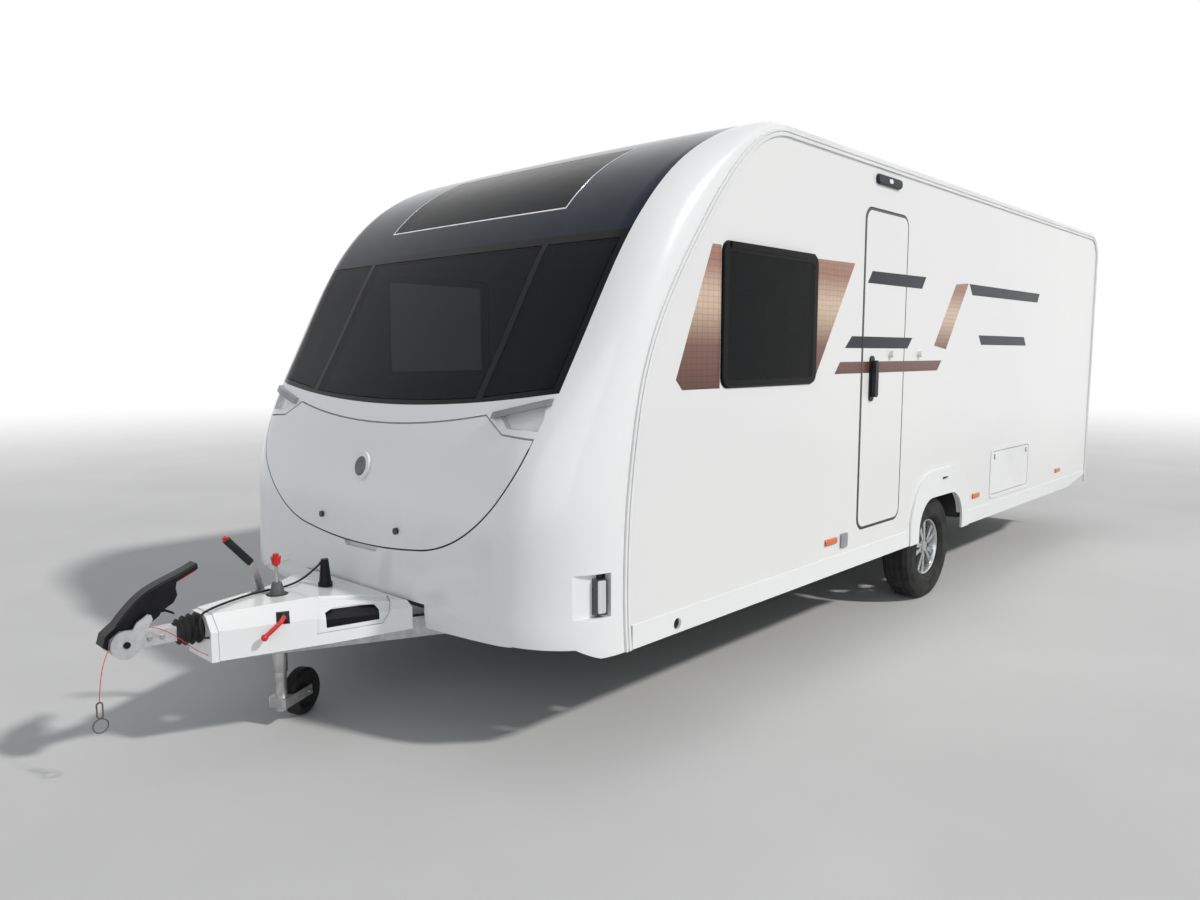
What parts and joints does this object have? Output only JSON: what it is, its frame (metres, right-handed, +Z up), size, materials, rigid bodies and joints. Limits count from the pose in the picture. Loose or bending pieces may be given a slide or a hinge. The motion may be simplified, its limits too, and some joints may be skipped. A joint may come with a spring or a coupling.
{
  "type": "travel caravan",
  "caption": "Single-axle touring caravan with wrap-round front, entrance door, locker lid, service hatch, rooflights, corner steadies, jockey wheel and overrun coupling.",
  "frame": {"origin": "on the ground under the middle of the overall length and width", "axes": "+X forward to the hitch, +Y left (door side), +Z up"},
  "size_m": [7.792, 2.498, 2.6223],
  "materials": {
    "white_moulding": "gloss white",
    "dark_cowl": "dark blue-black gloss",
    "tinted_glass": "dark tinted, clear",
    "handle_plastic": "satin grey",
    "white_lens": "clear ribbed lens",
    "roof_skin": "satin white",
    "frame_plastic": "satin off-white",
    "wall_skin": "gloss white",
    "rail_plastic": "satin white",
    "skirt_plastic": "gloss white",
    "black_seal": "matte black",
    "amber_lens": "amber lens",
    "red_lens": "red lens",
    "floor_board": "sealed plywood",
    "furniture_wood": "satin light wood",
    "upholstery": "woven grey-beige",
    "galvanised": "galvanised steel",
    "black_rubber": "matte black",
    "cast_silver": "bright cast metal",
    "lever_black": "satin black",
    "red_lever": "gloss red",
    "fairing_plastic": "satin white",
    "red_cable": "red coated wire",
    "clip_steel": "zinc plated",
    "tyre_rubber": "matte black",
    "cast_alloy": "silver alloy",
    "zinc_tube": "zinc plated",
    "boss_grey": "satin silver grey",
    "dome_acrylic": "smoked acrylic"
  },
  "bodies": {
    "caravan": {"front_moulding": "white_moulding", "front_cowl": "dark_cowl", "front_windows": "tinted_glass", "grab_handles": "handle_plastic", "front_lamps": "white_lens", "roof": "roof_skin", "rear_panel": "white_moulding", "rooflight_frames": "frame_plastic", "wall_left": "wall_skin", "wall_right": "wall_skin", "awning_rails": "rail_plastic", "skirts": "skirt_plastic", "arch_trims": "skirt_plastic", "window_seals": "black_seal", "window_panes": "tinted_glass", "wall_fittings": "frame_plastic", "side_markers": "amber_lens", "hatch_frame": "frame_plastic", "rear_lamps": "red_lens", "floor": "floor_board", "furniture": "furniture_wood", "washroom_wall": "furniture_wood", "cushions": "upholstery", "chassis_frame": "galvanised", "crossmembers": "galvanised", "steady_brackets": "galvanised", "drawbar": "galvanised", "axle": "galvanised", "jockey_clamp": "galvanised", "overrun_device": "galvanised", "bellows": "black_rubber", "coupling_head": "cast_silver", "stabiliser_lever": "lever_black", "handbrake_lever": "lever_black", "clamp_lever": "red_lever", "drawbar_fairing": "fairing_plastic", "plug_holder": "lever_black", "road_cable": "black_rubber", "breakaway_cable": "red_cable", "breakaway_clip": "clip_steel"},
    "wheel_left": {"tyre_left": "tyre_rubber", "rim_left": "cast_alloy"},
    "wheel_right": {"tyre_right": "tyre_rubber", "rim_right": "cast_alloy"},
    "jockey_tube": {"jockey_tube": "zinc_tube"},
    "jockey_fork": {"jockey_fork": "zinc_tube"},
    "jockey_wheel": {"jockey_wheel": "black_rubber"},
    "door": {"door": "wall_skin", "door_fittings": "lever_black"},
    "locker_lid": {"locker_lid": "white_moulding", "lid_fittings": "boss_grey"},
    "service_hatch": {"service_hatch": "frame_plastic"},
    "rooflight_front": {"rooflight_front": "dome_acrylic"},
    "rooflight_rear": {"rooflight_rear": "dome_acrylic"},
    "steady_front_left": {"steady_front_left": "galvanised"},
    "steady_front_right": {"steady_front_right": "galvanised"},
    "steady_rear_left": {"steady_rear_left": "galvanised"},
    "steady_rear_right": {"steady_rear_right": "galvanised"}
  },
  "joints": [
    {"name": "wheel_left_spin", "type": "hinge", "parent": "caravan", "child": "wheel_left", "pos_m": [-0.561, 1.0875, 0.325], "axis": [0, 1, 0], "continuous": true},
    {"name": "wheel_right_spin", "type": "hinge", "parent": "caravan", "child": "wheel_right", "pos_m": [-0.561, -1.0875, 0.325], "axis": [0, 1, 0], "continuous": true},
    {"name": "jockey_slide", "type": "slide", "parent": "caravan", "child": "jockey_tube", "axis": [0, 0, 1], "range_m": [0, 0.13]},
    {"name": "jockey_swivel", "type": "hinge", "parent": "jockey_tube", "child": "jockey_fork", "pos_m": [3.184, 0, 0.3], "axis": [0, 0, 1], "continuous": true},
    {"name": "jockey_wheel_spin", "type": "hinge", "parent": "jockey_fork", "child": "jockey_wheel", "pos_m": [3.06266, -0.05918, 0.1], "axis": [0.4384, -0.8988, 0], "continuous": true},
    {"name": "door_hinge", "type": "hinge", "parent": "caravan", "child": "door", "pos_m": [0.021, 1.233, 1.448], "axis": [0, 0, 1], "range_deg": [0, 155]},
    {"name": "locker_hinge", "type": "hinge", "parent": "caravan", "child": "locker_lid", "pos_m": [2.69, 0, 1.34], "axis": [0, -1, 0], "range_deg": [0, 75]},
    {"name": "hatch_hinge", "type": "hinge", "parent": "caravan", "child": "service_hatch", "pos_m": [-1.8345, 1.229, 0.56], "axis": [-1, 0, 0], "range_deg": [0, 95]},
    {"name": "rooflight_front_hinge", "type": "hinge", "parent": "caravan", "child": "rooflight_front", "pos_m": [0.326, 0, 2.5943], "axis": [0, -1, 0], "range_deg": [0, 55]},
    {"name": "rooflight_rear_hinge", "type": "hinge", "parent": "caravan", "child": "rooflight_rear", "pos_m": [-1.974, 0, 2.5943], "axis": [0, -1, 0], "range_deg": [0, 55]},
    {"name": "steady_front_left_pivot", "type": "hinge", "parent": "caravan", "child": "steady_front_left", "pos_m": [1.75, 0.9, 0.43], "axis": [0, 1, 0], "range_deg": [0, 60]},
    {"name": "steady_front_right_pivot", "type": "hinge", "parent": "caravan", "child": "steady_front_right", "pos_m": [1.75, -0.9, 0.43], "axis": [0, 1, 0], "range_deg": [0, 60]},
    {"name": "steady_rear_left_pivot", "type": "hinge", "parent": "caravan", "child": "steady_rear_left", "pos_m": [-2.9, 0.9, 0.43], "axis": [0, -1, 0], "range_deg": [0, 60]},
    {"name": "steady_rear_right_pivot", "type": "hinge", "parent": "caravan", "child": "steady_rear_right", "pos_m": [-2.9, -0.9, 0.43], "axis": [0, -1, 0], "range_deg": [0, 60]}
  ]
}
